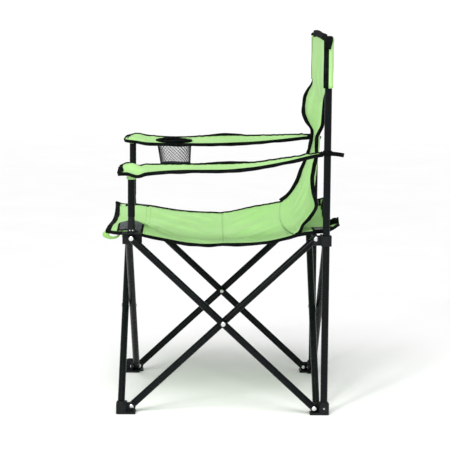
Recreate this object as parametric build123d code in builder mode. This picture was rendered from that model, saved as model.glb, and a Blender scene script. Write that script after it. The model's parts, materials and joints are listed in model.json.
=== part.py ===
from build123d import *
from math import asin, cos, degrees, hypot, radians, sin
import os

# Folding camp chair. It stands on Z = 0, faces -Y, and its sitter's left is +X.
# Four scissor pairs of steel tube join four moulded feet to four moulded brackets.

# ---- driving dimensions, in millimetres ----
tube_radius = 8.0
tube_wall = 1.0
half_span = 204.5         # from the centre to each pivot, along a side
side_plane = 219.5        # from the centre to the plane between a pair's two tubes
post_offset = 226.5       # rear posts, from the centre along X and Y
low_pivot = 14.5          # height of the pivots in the feet
high_pivot = 395.5        # height of the pivots in the brackets
tube_gap = 0.5            # each tube's clearance from the plane between a pair
ear_thickness = 5.0
ear_radius = 9.8
block_half = 11.5         # half the width of the moulded blocks round the posts
block_corner = 5.0
rivet_radius = 2.5
rivet_head = 5.2
rivet_tail = 4.2
rivet_dome = 2.0
running_gap = 0.05        # rivet shanks in the tubes that turn on them
pin_radius = 2.0          # the hollow pins that hold the rear posts in their feet
pin_bore = 1.2

foot_height = 24.0
foot_collar = 28.0
sole_thickness = 5.0
sole_corner = 3.5
sole_edge = 1.5
socket_floor = 4.0
counterbore_depth = 1.2
collar_lip = 0.5
collar_taper = 12.0       # degrees

rear_post_top = 838.0
rear_bracket_low = 381.0
rear_bracket_high = 403.5
bracket_corner = 2.0
slide_gap = 0.3           # round the post, in the brackets that slide on it

neck_x = side_plane + 0.5
front_bracket_inner = 181.0
flange_low = 404.5
flange_high = 407.0
neck_top = 443.0
neck_radius_low = 9.0
neck_radius_high = 7.2
spigot_length = 27.0
neck_pin_radius = 1.3
neck_pin_offset = 3.3     # each of the two pins from the neck's centre line, along the side
neck_pin_height = flange_high + 6
arm_post_top = {"left": 555.0, "right": 577.0}
cap_height = 3.0

fabric = 3.0              # thickness of the plain solids that hold the fabric's place
seat_edge = 205.0         # half the width of the seat and of the lower back
back_edge = 215.8         # half the width of the upper back, between its sleeves
back_split = 560.0        # height of the seam across the back
sleeve_low = 729.0
sleeve_high = 835.0
wrap_gap = 0.6            # fabric wraps, clear of the tube they go round
wrap_thickness = 1.8
strap_low = 581.0         # the strap that ties each arm rest to its rear post
strap_width = 11.0
strap_tail = {"left": 35.5, "right": 15.0}
notch_gap = 1.5           # fabric cut back round a neck
patch_inset = 46.0        # corner patches, in from the seat's side
patch_thickness = 1.0
patch_lift = 2.0
loop_width = 25.0         # webbing loops under the seat's front corners
loop_half_length = {"left": 20.0, "right": 16.0}
loop_half_height = {"left": 11.0, "right": 7.0}
loop_thickness = 1.6
loop_tilt = 8.0           # degrees
loop_x = 180.0
loop_y = {"left": -252.0, "right": -248.0}
loop_z = 396.0
arm_pocket_low = {"left": 526.0, "right": 571.0}
arm_inner = 176.0
arm_outer = 280.0
cup_centre = (-228.0, -120.0)
cup_radius = 45.0
cup_bottom = 518.0
cup_ring_low = 571.0
cup_ring_height = 11.0
cup_ring_width = 6.0
cup_ring_edge = 2.0
net_top_inset = 3.0       # the net's rim and its floor, in from the ring's outside
net_floor_inset = 10.0
cup_gap = 0.3             # round the ring, in the arm rest

tube_length = hypot(high_pivot - low_pivot, 2 * half_span)
mid_pivot = (low_pivot + high_pivot) / 2
block_edge = post_offset + block_half

os.makedirs("parts", exist_ok=True)


def save(part, name):
    """Write one finished piece under its own name."""
    part.label = name
    export_step(part, f"parts/{name}.step")


def quarter_turns(part, name_of):
    """The mouldings are the same at both corners of an end: each is the other turned a quarter."""
    for turn, name in name_of.items():
        save(part.rotate(Axis.Z, turn), name)


# ---- scissor tubes ----
def capsule(plane, length, radius):
    """Half outline of a round-ended bar that lies along the plane's X axis."""
    with BuildSketch(plane) as outline:
        with BuildLine():
            CenterArc((0, 0), radius, 90, 90)
            Line((0, radius), (length, radius))
            CenterArc((length, 0), radius, 0, 90)
            Line((-radius, 0), (length + radius, 0))
        make_face()
    return outline.sketch


def scissor_tube(name, low_end, high_end, across):
    """A hollow tube with closed round ends, drilled at both ends and in the middle."""
    start = Vector(*low_end)
    run = Vector(*high_end) - start
    plane = Plane(origin=start, x_dir=run, z_dir=across)
    line = Axis(start, run)
    with BuildPart() as tube:
        revolve(capsule(plane, tube_length, tube_radius), axis=line)
        bore = capsule(plane, tube_length, tube_radius - tube_wall)
        revolve(bore, axis=line, mode=Mode.SUBTRACT)
        with BuildSketch(plane.offset(-2 * tube_radius)):
            with Locations((0, 0), (tube_length / 2, 0), (tube_length, 0)):
                Circle(rivet_radius + running_gap)
        extrude(amount=4 * tube_radius, mode=Mode.SUBTRACT)
    save(tube.part, name)


inner_line = side_plane - tube_gap - tube_radius
outer_line = side_plane + tube_gap + tube_radius

# Seen from outside, each side's outer tube climbs to the left and its inner tube to the right.
for side, angle in {"left": 0, "rear": 90, "right": 180, "front": 270}.items():
    across = Vector(1, 0, 0).rotate(Axis.Z, angle)
    for layer, reach, climb in (("outer", outer_line, 1), ("inner", inner_line, -1)):
        low_end = Vector(reach, climb * half_span, low_pivot).rotate(Axis.Z, angle)
        high_end = Vector(reach, -climb * half_span, high_pivot).rotate(Axis.Z, angle)
        scissor_tube(f"tube_{side}_{layer}", low_end, high_end, across)


# ---- rivets ----
def dome(radius, height):
    """Radius of a domed cap's sphere, and the angle that the cap takes of it, in degrees."""
    ball = (radius**2 + height**2) / (2 * height)
    return ball, degrees(asin(radius / ball))


def rivet_profile(head_at, inward, grip):
    """Half outline of a rivet: a domed head, a shank through the grip, and a formed tail."""
    head_ball, head_angle = dome(rivet_head, rivet_dome)
    tail_ball, tail_angle = dome(rivet_tail, rivet_dome)
    with BuildSketch(Plane(origin=head_at, x_dir=inward, z_dir=(0, 0, 1))) as outline:
        with BuildLine():
            CenterArc((head_ball - rivet_dome, 0), head_ball, 180, -head_angle)
            Line((0, rivet_head), (0, rivet_radius))
            Line((0, rivet_radius), (grip, rivet_radius))
            Line((grip, rivet_radius), (grip, rivet_tail))
            CenterArc((grip + rivet_dome - tail_ball, 0), tail_ball, tail_angle, -tail_angle)
            Line((grip + rivet_dome, 0), (-rivet_dome, 0))
        make_face()
    return outline.sketch


def rivets(places):
    """A group of rivets, each given by where its head sits, which way it points, and its grip."""
    with BuildPart() as group:
        for head_at, inward, grip in places:
            revolve(rivet_profile(head_at, inward, grip), axis=Axis(head_at, inward))
    return group.part


head_clearance = 0.15
ear_grip = ear_thickness + tube_gap + 2 * tube_radius + head_clearance

# At every corner one pivot has its ear outside the tube, and the other has it inside.
outside_ear_head = side_plane + ear_thickness
outside_tube_head = side_plane + tube_gap + 2 * tube_radius + head_clearance

turned_feet = {0: "rear_left", 90: "rear_right", 180: "front_right", 270: "front_left"}
foot_rivets = rivets(
    [
        ((outside_tube_head, half_span, low_pivot), (-1, 0, 0), ear_grip),
        ((half_span, outside_ear_head, low_pivot), (0, -1, 0), ear_grip),
    ]
)
quarter_turns(foot_rivets, {turn: f"rivets_foot_{end}" for turn, end in turned_feet.items()})

rear_bracket_rivets = rivets(
    [
        ((outside_ear_head, half_span, high_pivot), (-1, 0, 0), ear_grip),
        ((half_span, outside_tube_head, high_pivot), (0, -1, 0), ear_grip),
    ]
)
quarter_turns(
    rear_bracket_rivets, {0: "rivets_bracket_rear_left", 90: "rivets_bracket_rear_right"}
)

front_bracket_rivets = rivets(
    [
        ((outside_tube_head, -half_span, high_pivot), (-1, 0, 0), ear_grip),
        ((half_span, -outside_ear_head, high_pivot), (0, 1, 0), ear_grip),
    ]
)
quarter_turns(
    front_bracket_rivets, {0: "rivets_bracket_front_left", -90: "rivets_bracket_front_right"}
)

cross_grip = 4 * tube_radius + 2 * tube_gap + 2 * head_clearance
cross_rivet = rivets([((outside_tube_head, 0, mid_pivot), (-1, 0, 0), cross_grip)])
turned_sides = {0: "left", 90: "rear", 180: "right", 270: "front"}
quarter_turns(cross_rivet, {turn: f"rivet_cross_{side}" for turn, side in turned_sides.items()})


# ---- feet: one moulding, turned a quarter at each corner ----
with BuildPart() as foot:
    with BuildSketch():
        with Locations((block_edge, block_edge)):
            Rectangle(
                block_edge - side_plane + ear_thickness + 1,
                block_edge - half_span + ear_radius,
                align=(Align.MAX, Align.MAX),
            )
            Rectangle(
                block_edge - half_span + ear_radius,
                block_edge - inner_line + tube_radius,
                align=(Align.MAX, Align.MAX),
            )
        fillet(vertices(), radius=sole_corner)
    extrude(amount=sole_thickness)
    with BuildSketch():
        with Locations((post_offset, post_offset)):
            RectangleRounded(2 * block_half, 2 * block_half, block_corner)
    extrude(amount=foot_height)
    with BuildSketch(Plane.XY.offset(foot_height)):
        with Locations((post_offset, post_offset)):
            Circle(block_half - collar_lip)
    extrude(amount=foot_collar - foot_height, taper=collar_taper)
    # The ear inside the side's outer tube.
    with BuildSketch(Plane.YZ.offset(side_plane - ear_thickness)):
        with Locations((half_span, low_pivot)):
            Circle(ear_radius)
        with Locations((half_span, 0)):
            Rectangle(
                post_offset - half_span, low_pivot + ear_radius, align=(Align.MIN, Align.MIN)
            )
    extrude(amount=ear_thickness)
    # The ear outside the rear's inner tube.
    with BuildSketch(Plane.XZ.offset(-side_plane)):
        with Locations((half_span, low_pivot)):
            Circle(ear_radius)
        with Locations((half_span, 0)):
            Rectangle(
                post_offset - half_span, low_pivot + ear_radius, align=(Align.MIN, Align.MIN)
            )
    extrude(amount=-ear_thickness)
    fillet(foot.part.edges().group_by(Axis.Z)[0], radius=sole_edge)
    with BuildSketch(Plane.XY.offset(socket_floor)):
        with Locations((post_offset, post_offset)):
            Circle(tube_radius)
    extrude(amount=foot_collar, mode=Mode.SUBTRACT)
    with BuildSketch(Plane.YZ.offset(side_plane - 3 * ear_thickness)):
        with Locations((post_offset, low_pivot)):
            Circle(pin_radius)
        with Locations((half_span, low_pivot)):
            Circle(rivet_radius)
    extrude(amount=8 * ear_thickness, mode=Mode.SUBTRACT)
    with BuildSketch(Plane.YZ.offset(block_edge)):
        with Locations((post_offset, low_pivot)):
            Circle(2 * pin_radius)
    extrude(amount=-counterbore_depth, mode=Mode.SUBTRACT)
    with BuildSketch(Plane.XZ.offset(-side_plane)):
        with Locations((half_span, low_pivot)):
            Circle(rivet_radius)
    extrude(amount=-2 * ear_thickness, mode=Mode.SUBTRACT)
quarter_turns(foot.part, {turn: f"foot_{end}" for turn, end in turned_feet.items()})


# ---- rear posts, the pins that hold them in their feet, and the plugs in their tops ----
with BuildPart() as rear_post:
    with BuildSketch(Plane.XY.offset(socket_floor)):
        with Locations((post_offset, post_offset)):
            Circle(tube_radius)
            Circle(tube_radius - tube_wall, mode=Mode.SUBTRACT)
    extrude(amount=rear_post_top - socket_floor)
    with BuildSketch(Plane.YZ.offset(side_plane - ear_thickness)):
        with Locations((post_offset, low_pivot)):
            Circle(pin_radius)
    extrude(amount=5 * ear_thickness, mode=Mode.SUBTRACT)
quarter_turns(rear_post.part, {0: "post_rear_left", 90: "post_rear_right"})

with BuildPart() as post_pin:
    with BuildSketch(Plane.YZ.offset(side_plane - ear_thickness)):
        with Locations((post_offset, low_pivot)):
            Circle(pin_radius)
            Circle(pin_bore, mode=Mode.SUBTRACT)
    extrude(amount=block_edge - counterbore_depth - side_plane + ear_thickness)
quarter_turns(post_pin.part, {0: "post_pin_rear_left", 90: "post_pin_rear_right"})


def tube_plug(x, y, top):
    """A domed cap that closes a tube, with a spigot inside it."""
    with BuildPart() as plug:
        with BuildSketch(Plane.XY.offset(top - 4 * cap_height)):
            with Locations((x, y)):
                Circle(tube_radius - tube_wall)
        extrude(amount=4 * cap_height)
        with BuildSketch(Plane.XY.offset(top)):
            with Locations((x, y)):
                Circle(tube_radius)
        extrude(amount=cap_height)
        fillet(plug.part.edges().group_by(Axis.Z)[-1], radius=0.8 * cap_height)
    return plug.part


quarter_turns(
    tube_plug(post_offset, post_offset, rear_post_top),
    {0: "cap_rear_left", 90: "cap_rear_right"},
)


# ---- rear brackets: they slide up the rear posts as the chair folds ----
with BuildPart() as rear_bracket:
    with BuildSketch(Plane.XY.offset(rear_bracket_low)):
        with Locations((post_offset, post_offset)):
            RectangleRounded(2 * block_half, 2 * block_half, bracket_corner)
    extrude(amount=rear_bracket_high - rear_bracket_low)
    for ear_plane in (Plane.YZ.offset(side_plane), Plane.XZ.offset(-side_plane)):
        with BuildSketch(ear_plane):
            with Locations((post_offset, rear_bracket_low)):
                Rectangle(
                    post_offset - half_span + ear_radius - bracket_corner,
                    rear_bracket_high - rear_bracket_low,
                    align=(Align.MAX, Align.MIN),
                )
            fillet(vertices().group_by(Axis.X)[0], radius=bracket_corner)
        extrude(amount=ear_thickness)
    with BuildSketch(Plane.XY.offset(rear_bracket_low)):
        with Locations((post_offset, post_offset)):
            Circle(tube_radius + slide_gap)
    extrude(amount=rear_bracket_high - rear_bracket_low, mode=Mode.SUBTRACT)
    with BuildSketch(Plane.YZ.offset(side_plane)):
        with Locations((half_span, high_pivot)):
            Circle(rivet_radius)
    extrude(amount=ear_thickness, mode=Mode.SUBTRACT)
    with BuildSketch(Plane.XZ.offset(-side_plane)):
        with Locations((half_span, high_pivot)):
            Circle(rivet_radius)
    extrude(amount=ear_thickness, mode=Mode.SUBTRACT)
quarter_turns(rear_bracket.part, {0: "bracket_rear_left", 90: "bracket_rear_right"})


# ---- front brackets: two ears under a flange, and a neck that carries the arm post ----
neck_pin_places = [
    (-half_span - neck_pin_offset, neck_pin_height),
    (-half_span + neck_pin_offset, neck_pin_height),
]

with BuildPart() as front_bracket:
    with BuildSketch(Plane.YZ.offset(side_plane - ear_thickness)):
        with Locations((-side_plane - ear_thickness, rear_bracket_low)):
            Rectangle(
                side_plane + ear_thickness - front_bracket_inner,
                flange_high - rear_bracket_low,
                align=(Align.MIN, Align.MIN),
            )
        fillet(vertices().group_by(Axis.Y)[0], radius=2 * bracket_corner)
    extrude(amount=ear_thickness)
    with BuildSketch(Plane.XZ.offset(side_plane)):
        with Locations((side_plane, rear_bracket_low)):
            Rectangle(
                side_plane - half_span + ear_radius - bracket_corner,
                flange_low - rear_bracket_low,
                align=(Align.MAX, Align.MIN),
            )
        fillet(vertices().group_by(Axis.X)[0], radius=bracket_corner)
    extrude(amount=ear_thickness)
    with BuildSketch(Plane.XY.offset(flange_low)):
        with Locations((neck_x + block_half, -side_plane - ear_thickness)):
            Rectangle(
                neck_x + block_half - seat_edge - bracket_corner,
                side_plane + ear_thickness - front_bracket_inner,
                align=(Align.MAX, Align.MIN),
            )
        fillet(vertices(), radius=bracket_corner)
    extrude(amount=flange_high - flange_low)
    with BuildSketch(Plane.XY.offset(flange_high)):
        with Locations((neck_x, -half_span)):
            Circle(neck_radius_low)
    with BuildSketch(Plane.XY.offset(neck_top)):
        with Locations((neck_x, -half_span)):
            Circle(neck_radius_high)
    loft()
    with BuildSketch(Plane.XY.offset(neck_top)):
        with Locations((neck_x, -half_span)):
            Circle(tube_radius - tube_wall)
    extrude(amount=spigot_length)
    with BuildSketch(Plane.YZ.offset(side_plane - ear_thickness)):
        with Locations((-half_span, high_pivot)):
            Circle(rivet_radius)
    extrude(amount=ear_thickness, mode=Mode.SUBTRACT)
    with BuildSketch(Plane.XZ.offset(side_plane)):
        with Locations((half_span, high_pivot)):
            Circle(rivet_radius)
    extrude(amount=ear_thickness, mode=Mode.SUBTRACT)
    with BuildSketch(Plane.YZ.offset(neck_x - 2 * tube_radius)):
        with Locations(*neck_pin_places):
            Circle(neck_pin_radius)
    extrude(amount=4 * tube_radius, mode=Mode.SUBTRACT)
quarter_turns(front_bracket.part, {0: "bracket_front_left", -90: "bracket_front_right"})

with BuildPart() as neck_pins:
    with BuildSketch(Plane.YZ.offset(neck_x - neck_radius_low)):
        with Locations(*neck_pin_places):
            Circle(neck_pin_radius)
    extrude(amount=2 * neck_radius_low)
quarter_turns(neck_pins.part, {0: "neck_pins_front_left", -90: "neck_pins_front_right"})

for side, turn in (("left", 0), ("right", -90)):
    with BuildPart() as arm_post:
        with BuildSketch(Plane.XY.offset(neck_top)):
            with Locations((neck_x, -half_span)):
                Circle(tube_radius)
                Circle(tube_radius - tube_wall, mode=Mode.SUBTRACT)
        extrude(amount=arm_post_top[side] - neck_top)
    quarter_turns(arm_post.part, {turn: f"post_front_{side}"})
    quarter_turns(
        tube_plug(neck_x, -half_span, arm_post_top[side]), {turn: f"cap_front_{side}"}
    )


# ---- fabric: plain solids that hold its place ----
def sheet_section(points, shift, x_low):
    """A sheet's section: a curve in Y and Z, and the same curve moved by the thickness."""
    first = [Vector(y, z) for y, z in points]
    second = [point + Vector(*shift) for point in first]
    with BuildSketch(Plane.YZ.offset(x_low)) as section:
        with BuildLine():
            Spline(*first)
            Line(first[-1], second[-1])
            Spline(*reversed(second))
            Line(second[0], first[0])
        make_face()
    return section.sketch


seat_front_curve = [(-262, 417), (-235, 411.5), (-205, 411), (-140, 398), (-70, 386), (-0.2, 383)]
seat_rear_curve = [(0.2, 383), (90, 389), (160, 404), (200, 409.5), (236, 412), (255, 412)]
back_low_curve = [(168.5, 409.5), (184, 437), (199.5, 470), (193.5, 500), (193, 530), (198, 559.8)]
back_high_curve = [(198, 560.2), (202, 600), (211, 640), (217, 690), (221, 740), (221, 800), (226, 842)]


def neck_notch():
    """The seat's right edge is cut back where the right arm post stands inside it."""
    with BuildSketch() as notch:
        with Locations((-half_span, -neck_x)):
            Circle(neck_radius_low + notch_gap)
    return notch.sketch


with BuildPart() as seat_front:
    extrude(sheet_section(seat_front_curve, (0, -fabric), -seat_edge), amount=2 * seat_edge)
    extrude(neck_notch(), amount=neck_top, mode=Mode.SUBTRACT)
save(seat_front.part, "seat_front")
with BuildPart() as seat_rear:
    extrude(sheet_section(seat_rear_curve, (0, -fabric), -seat_edge), amount=2 * seat_edge)
save(seat_rear.part, "seat_rear")
with BuildPart() as back_low:
    extrude(sheet_section(back_low_curve, (fabric, 0), -seat_edge), amount=2 * seat_edge)
save(back_low.part, "back_lower")
with BuildPart() as back_high:
    extrude(sheet_section(back_high_curve, (fabric, 0), -back_edge), amount=2 * back_edge)
    for direction in (-1, 1):
        with BuildSketch(Plane.XZ.offset(-post_offset - tube_radius)):
            with Locations((direction * (seat_edge + back_edge), back_split)):
                Rectangle(
                    2 * back_edge, sleeve_low - back_split, align=(Align.CENTER, Align.MIN)
                )
        extrude(amount=8 * tube_radius, mode=Mode.SUBTRACT)
save(back_high.part, "back_upper")


def wrap_ring(x, y, low):
    """The section of a fabric band round a post."""
    with BuildSketch(Plane.XY.offset(low)) as ring:
        with Locations((x, y)):
            Circle(tube_radius + wrap_gap + wrap_thickness)
            Circle(tube_radius + wrap_gap, mode=Mode.SUBTRACT)
    return ring.sketch


side_align = {"left": Align.MIN, "right": Align.MAX}
for direction, side in ((1, "left"), (-1, "right")):
    with BuildPart() as sleeve:
        ring = wrap_ring(direction * post_offset, post_offset, sleeve_low)
        extrude(ring, amount=sleeve_high - sleeve_low)
    save(sleeve.part, f"back_sleeve_{side}")

    with BuildPart() as strap:
        extrude(wrap_ring(direction * post_offset, post_offset, strap_low), amount=strap_width)
        with BuildSketch(Plane.XY.offset(strap_low)):
            with Locations((direction * (post_offset + tube_radius + wrap_gap), post_offset)):
                Rectangle(wrap_thickness, strap_tail[side], align=(side_align[side], Align.MIN))
        extrude(amount=strap_width)
    save(strap.part, f"arm_strap_{side}")

# Arm rests, seen from above: they narrow to a strap's width at the rear post.
arm_outline = [
    (188, -234),
    (arm_inner, -214),
    (arm_inner, 90),
    (208, 170),
    (208, 215.5),
    (242, 215.5),
    (256, 150),
    (arm_outer, 60),
    (arm_outer, -214),
    (268, -234),
]
arm_curve = {
    "left": [(-234, 548), (-205, 563), (-165, 559), (-5, 557), (90, 563), (217, 588)],
    "right": [(-234, 582), (-205, 587), (-165, 582), (-5, 578), (90, 579), (217, 590)],
}
for direction, side in ((1, "left"), (-1, "right")):
    with BuildPart() as arm:
        low_x, high_x = sorted((direction * arm_inner, direction * arm_outer))
        section = sheet_section(arm_curve[side], (0, -fabric), low_x)
        extrude(section, amount=high_x - low_x)
        with BuildSketch(Plane.XY.offset(low_pivot)):
            with BuildLine():
                Polyline(*[(direction * x, y) for x, y in arm_outline], close=True)
            make_face()
        extrude(amount=rear_post_top, mode=Mode.INTERSECT)
        if side == "right":
            with BuildSketch(Plane.XY.offset(low_pivot)):
                with Locations(cup_centre):
                    Circle(cup_radius + cup_gap)
            extrude(amount=rear_post_top, mode=Mode.SUBTRACT)
    save(arm.part, f"arm_{side}")

for side, turn in (("left", 0), ("right", -90)):
    with BuildPart() as pocket:
        ring = wrap_ring(neck_x, -half_span, arm_pocket_low[side])
        extrude(ring, amount=arm_post_top[side] + 1 - arm_pocket_low[side])
    quarter_turns(pocket.part, {turn: f"arm_pocket_{side}"})

# The cup holder: a bound hole in the right arm, and a net bag under it.
with BuildPart() as cup_ring:
    with BuildSketch(Plane.XY.offset(cup_ring_low)):
        with Locations(cup_centre):
            Circle(cup_radius)
            Circle(cup_radius - cup_ring_width, mode=Mode.SUBTRACT)
    extrude(amount=cup_ring_height)
    fillet(cup_ring.part.edges().filter_by(GeomType.CIRCLE), radius=cup_ring_edge)
save(cup_ring.part, "cup_ring")

with BuildPart() as cup_net:
    for inset, floor, mode in ((0, 0, Mode.ADD), (fabric / 2, fabric / 2, Mode.SUBTRACT)):
        with BuildSketch(Plane.XY.offset(cup_bottom + floor)):
            with Locations(cup_centre):
                Circle(cup_radius - net_floor_inset - inset)
        with BuildSketch(Plane.XY.offset(cup_ring_low)):
            with Locations(cup_centre):
                Circle(cup_radius - net_top_inset - inset)
        loft(mode=mode)
save(cup_net.part, "cup_net")

# Reinforcing patches on the seat's corners, and the webbing loops under its front corners.
front_patch_curve = [(-240, 412.2), (-235, 411.5), (-205, 411), (-178, 406.5)]
rear_patch_curve = [(186, 407.8), (200, 409.5), (236, 412)]
for direction, side in ((1, "left"), (-1, "right")):
    low_x, high_x = sorted((direction * seat_edge, direction * (seat_edge - patch_inset)))
    for end, curve in (("front", front_patch_curve), ("rear", rear_patch_curve)):
        lifted = [(y, z + patch_lift) for y, z in curve]
        with BuildPart() as patch:
            extrude(sheet_section(lifted, (0, -patch_thickness), low_x), amount=patch_inset)
            if (end, side) == ("front", "right"):
                extrude(neck_notch(), amount=neck_top, mode=Mode.SUBTRACT)
        save(patch.part, f"corner_patch_{end}_{side}")

    loop_plane = Plane(
        origin=(direction * loop_x, loop_y[side], loop_z),
        x_dir=(0, cos(radians(loop_tilt)), sin(radians(loop_tilt))),
        z_dir=(1, 0, 0),
    )
    with BuildPart() as loop:
        with BuildSketch(loop_plane.offset(-loop_width / 2)):
            Ellipse(loop_half_length[side], loop_half_height[side])
            Ellipse(
                loop_half_length[side] - loop_thickness,
                loop_half_height[side] - loop_thickness,
                mode=Mode.SUBTRACT,
            )
        extrude(amount=loop_width)
    save(loop.part, f"corner_loop_front_{side}")
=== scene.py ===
import json
import math

import bpy
import numpy as np
from mathutils import Matrix, Vector


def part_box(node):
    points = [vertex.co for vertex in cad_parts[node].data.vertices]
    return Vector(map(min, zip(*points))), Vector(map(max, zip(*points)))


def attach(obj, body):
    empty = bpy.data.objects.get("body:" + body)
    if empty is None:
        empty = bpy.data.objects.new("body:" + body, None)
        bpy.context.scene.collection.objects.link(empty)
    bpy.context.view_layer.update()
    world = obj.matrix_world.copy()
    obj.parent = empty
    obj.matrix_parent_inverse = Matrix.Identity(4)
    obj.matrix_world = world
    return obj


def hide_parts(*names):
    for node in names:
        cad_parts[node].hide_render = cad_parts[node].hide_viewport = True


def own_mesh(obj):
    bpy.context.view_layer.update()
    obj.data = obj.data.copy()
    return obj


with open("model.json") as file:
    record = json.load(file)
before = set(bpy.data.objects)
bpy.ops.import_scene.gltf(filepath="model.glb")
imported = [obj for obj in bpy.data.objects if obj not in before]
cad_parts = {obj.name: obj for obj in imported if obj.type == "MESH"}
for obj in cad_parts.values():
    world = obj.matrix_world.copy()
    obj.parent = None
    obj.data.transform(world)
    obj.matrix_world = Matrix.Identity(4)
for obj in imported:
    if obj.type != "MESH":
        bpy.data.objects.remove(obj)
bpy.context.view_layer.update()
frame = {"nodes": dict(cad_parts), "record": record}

MM = 0.001
Y, Z = np.eye(3)[1:]


# ---------------------------------------------------------------- materials
def lit_material(name, roughness, metallic=0.0, sheen=0.0, specular=0.5):
    """A material with plain numbers on its shader's sockets. Colour and bump are wired later."""
    material = bpy.data.materials.new(name)
    material.use_nodes = True
    shader = material.node_tree.nodes["Principled BSDF"]
    shader.inputs["Roughness"].default_value = roughness
    shader.inputs["Metallic"].default_value = metallic
    shader.inputs["Sheen Weight"].default_value = sheen
    shader.inputs["Specular IOR Level"].default_value = specular
    return material, shader


class Nodes:
    """Short names for the nodes that the materials share, in the object's own metres."""

    def __init__(self, material, shader):
        self.tree = material.node_tree
        self.shader = shader
        self.place = self.add("ShaderNodeTexCoord").outputs["Object"]

    def add(self, kind, **settings):
        node = self.tree.nodes.new(kind)
        for key, value in settings.items():
            setattr(node, key, value)
        return node

    def feed(self, socket, value):
        if isinstance(value, bpy.types.NodeSocket):
            self.tree.links.new(value, socket)
        else:
            socket.default_value = value

    def math(self, operation, *values):
        node = self.add("ShaderNodeMath", operation=operation)
        for socket, value in zip(node.inputs, values):
            self.feed(socket, value)
        return node.outputs[0]

    def stretched(self, scale, turn=(0, 0, 0)):
        node = self.add("ShaderNodeMapping")
        self.feed(node.inputs["Vector"], self.place)
        node.inputs["Rotation"].default_value = turn
        node.inputs["Scale"].default_value = scale
        return node.outputs["Vector"]

    def noise(self, scale, detail=3.0, rough=0.5, place=None):
        node = self.add("ShaderNodeTexNoise")
        self.feed(node.inputs["Vector"], place or self.place)
        node.inputs["Scale"].default_value = scale
        node.inputs["Detail"].default_value = detail
        node.inputs["Roughness"].default_value = rough
        return node.outputs["Fac"]

    def ramp(self, factor, *stops):
        node = self.add("ShaderNodeValToRGB")
        self.feed(node.inputs["Fac"], factor)
        elements = node.color_ramp.elements
        while len(elements) < len(stops):
            elements.new(0.5)
        for element, (at, colour) in zip(elements, stops):
            element.position = at
            element.color = (*colour, 1)
        return node.outputs["Color"]

    def mix(self, factor, a, b, blend="MIX"):
        node = self.add("ShaderNodeMix", data_type="RGBA", blend_type=blend)
        self.feed(node.inputs[0], factor)
        self.feed(node.inputs[6], a)
        self.feed(node.inputs[7], b)
        return node.outputs[2]

    def bump(self, height, distance, strength=1.0, after=None):
        node = self.add("ShaderNodeBump")
        node.inputs["Strength"].default_value = strength
        node.inputs["Distance"].default_value = distance
        self.feed(node.inputs["Height"], height)
        if after is not None:
            self.feed(node.inputs["Normal"], after)
        return node.outputs["Normal"]

    def weave(self, pitch):
        """Crossing threads: one set runs across the chair, and the other down the cloth."""
        split = self.add("ShaderNodeSeparateXYZ")
        self.feed(split.inputs[0], self.place)
        down = self.math("ADD", split.outputs["Y"], split.outputs["Z"])
        k = 2 * math.pi / pitch
        across_wave = self.math("SINE", self.math("MULTIPLY", split.outputs["X"], k))
        down_wave = self.math("SINE", self.math("MULTIPLY", down, k))
        return self.math("MULTIPLY", across_wave, down_wave)

    def finish(self, colour, normal=None, rough=None):
        self.feed(self.shader.inputs["Base Color"], colour)
        if normal is not None:
            self.feed(self.shader.inputs["Normal"], normal)
        if rough is not None:
            self.feed(self.shader.inputs["Roughness"], rough)


def cloth_material(name, dark, middle, light, pitch, crease, sheen=0.15, rough=0.75):
    """Coated plain weave: uneven dye, faint thread lines, and soft creases."""
    material, shader = lit_material(name, rough, sheen=sheen, specular=0.3)
    n = Nodes(material, shader)
    dye = n.ramp(n.noise(9, 4), (0.3, dark), (0.5, middle), (0.72, light))
    slub = n.noise(1, 3, 0.6, n.stretched((140, 900, 900)))
    colour = n.mix(0.16, dye, n.ramp(slub, (0.35, dark), (0.65, light)))
    threads = n.weave(pitch)
    colour = n.mix(n.math("MULTIPLY_ADD", threads, 0.06, 0.5), colour, (*dark, 1))
    long_crease = n.noise(1, 2.5, 0.5, n.stretched((16, 5, 9), (0.3, 0.2, 0.7)))
    normal = n.bump(long_crease, crease)
    normal = n.bump(n.noise(70, 3), 0.0006, 0.5, normal)
    normal = n.bump(threads, 0.00018, 0.6, normal)
    n.finish(colour, normal, n.math("MULTIPLY_ADD", n.noise(60), 0.2, rough - 0.1))
    return material


def tape_material(name, dark, light, rib=0.0011):
    """Woven tape: fine ribs along it, a little paler where it has rubbed."""
    material, shader = lit_material(name, 0.85, specular=0.06)
    n = Nodes(material, shader)
    ribs = n.weave(rib)
    rubbed = n.noise(45, 4, 0.65)
    colour = n.ramp(rubbed, (0.42, dark), (0.75, light))
    colour = n.mix(n.math("MULTIPLY", ribs, 0.2), colour, (*light, 1))
    normal = n.bump(ribs, 0.0003, 0.8, n.bump(n.noise(160, 2), 0.0005, 0.6))
    n.finish(colour, normal)
    return material


def tube_material():
    """Black powder coat: orange-peel skin, uneven depth of colour and a few pale rubs."""
    material, shader = lit_material("powder_coat", 0.25, specular=0.1)
    n = Nodes(material, shader)
    skin = n.noise(900, 2, 0.6)
    base = n.ramp(n.noise(7, 3), (0.3, (0.002, 0.003, 0.0035)), (0.7, (0.005, 0.007, 0.0075)))
    rub = n.ramp(n.noise(19, 6, 0.75), (0.62, (0, 0, 0)), (0.85, (1, 1, 1)))
    colour = n.mix(n.math("MULTIPLY", rub, 0.03), base, (0.12, 0.13, 0.13, 1))
    rough = n.math("MULTIPLY_ADD", n.noise(55, 5, 0.7), 0.28, 0.12)
    n.finish(colour, n.bump(skin, 0.00012, 0.4), rough)
    return material


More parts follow.
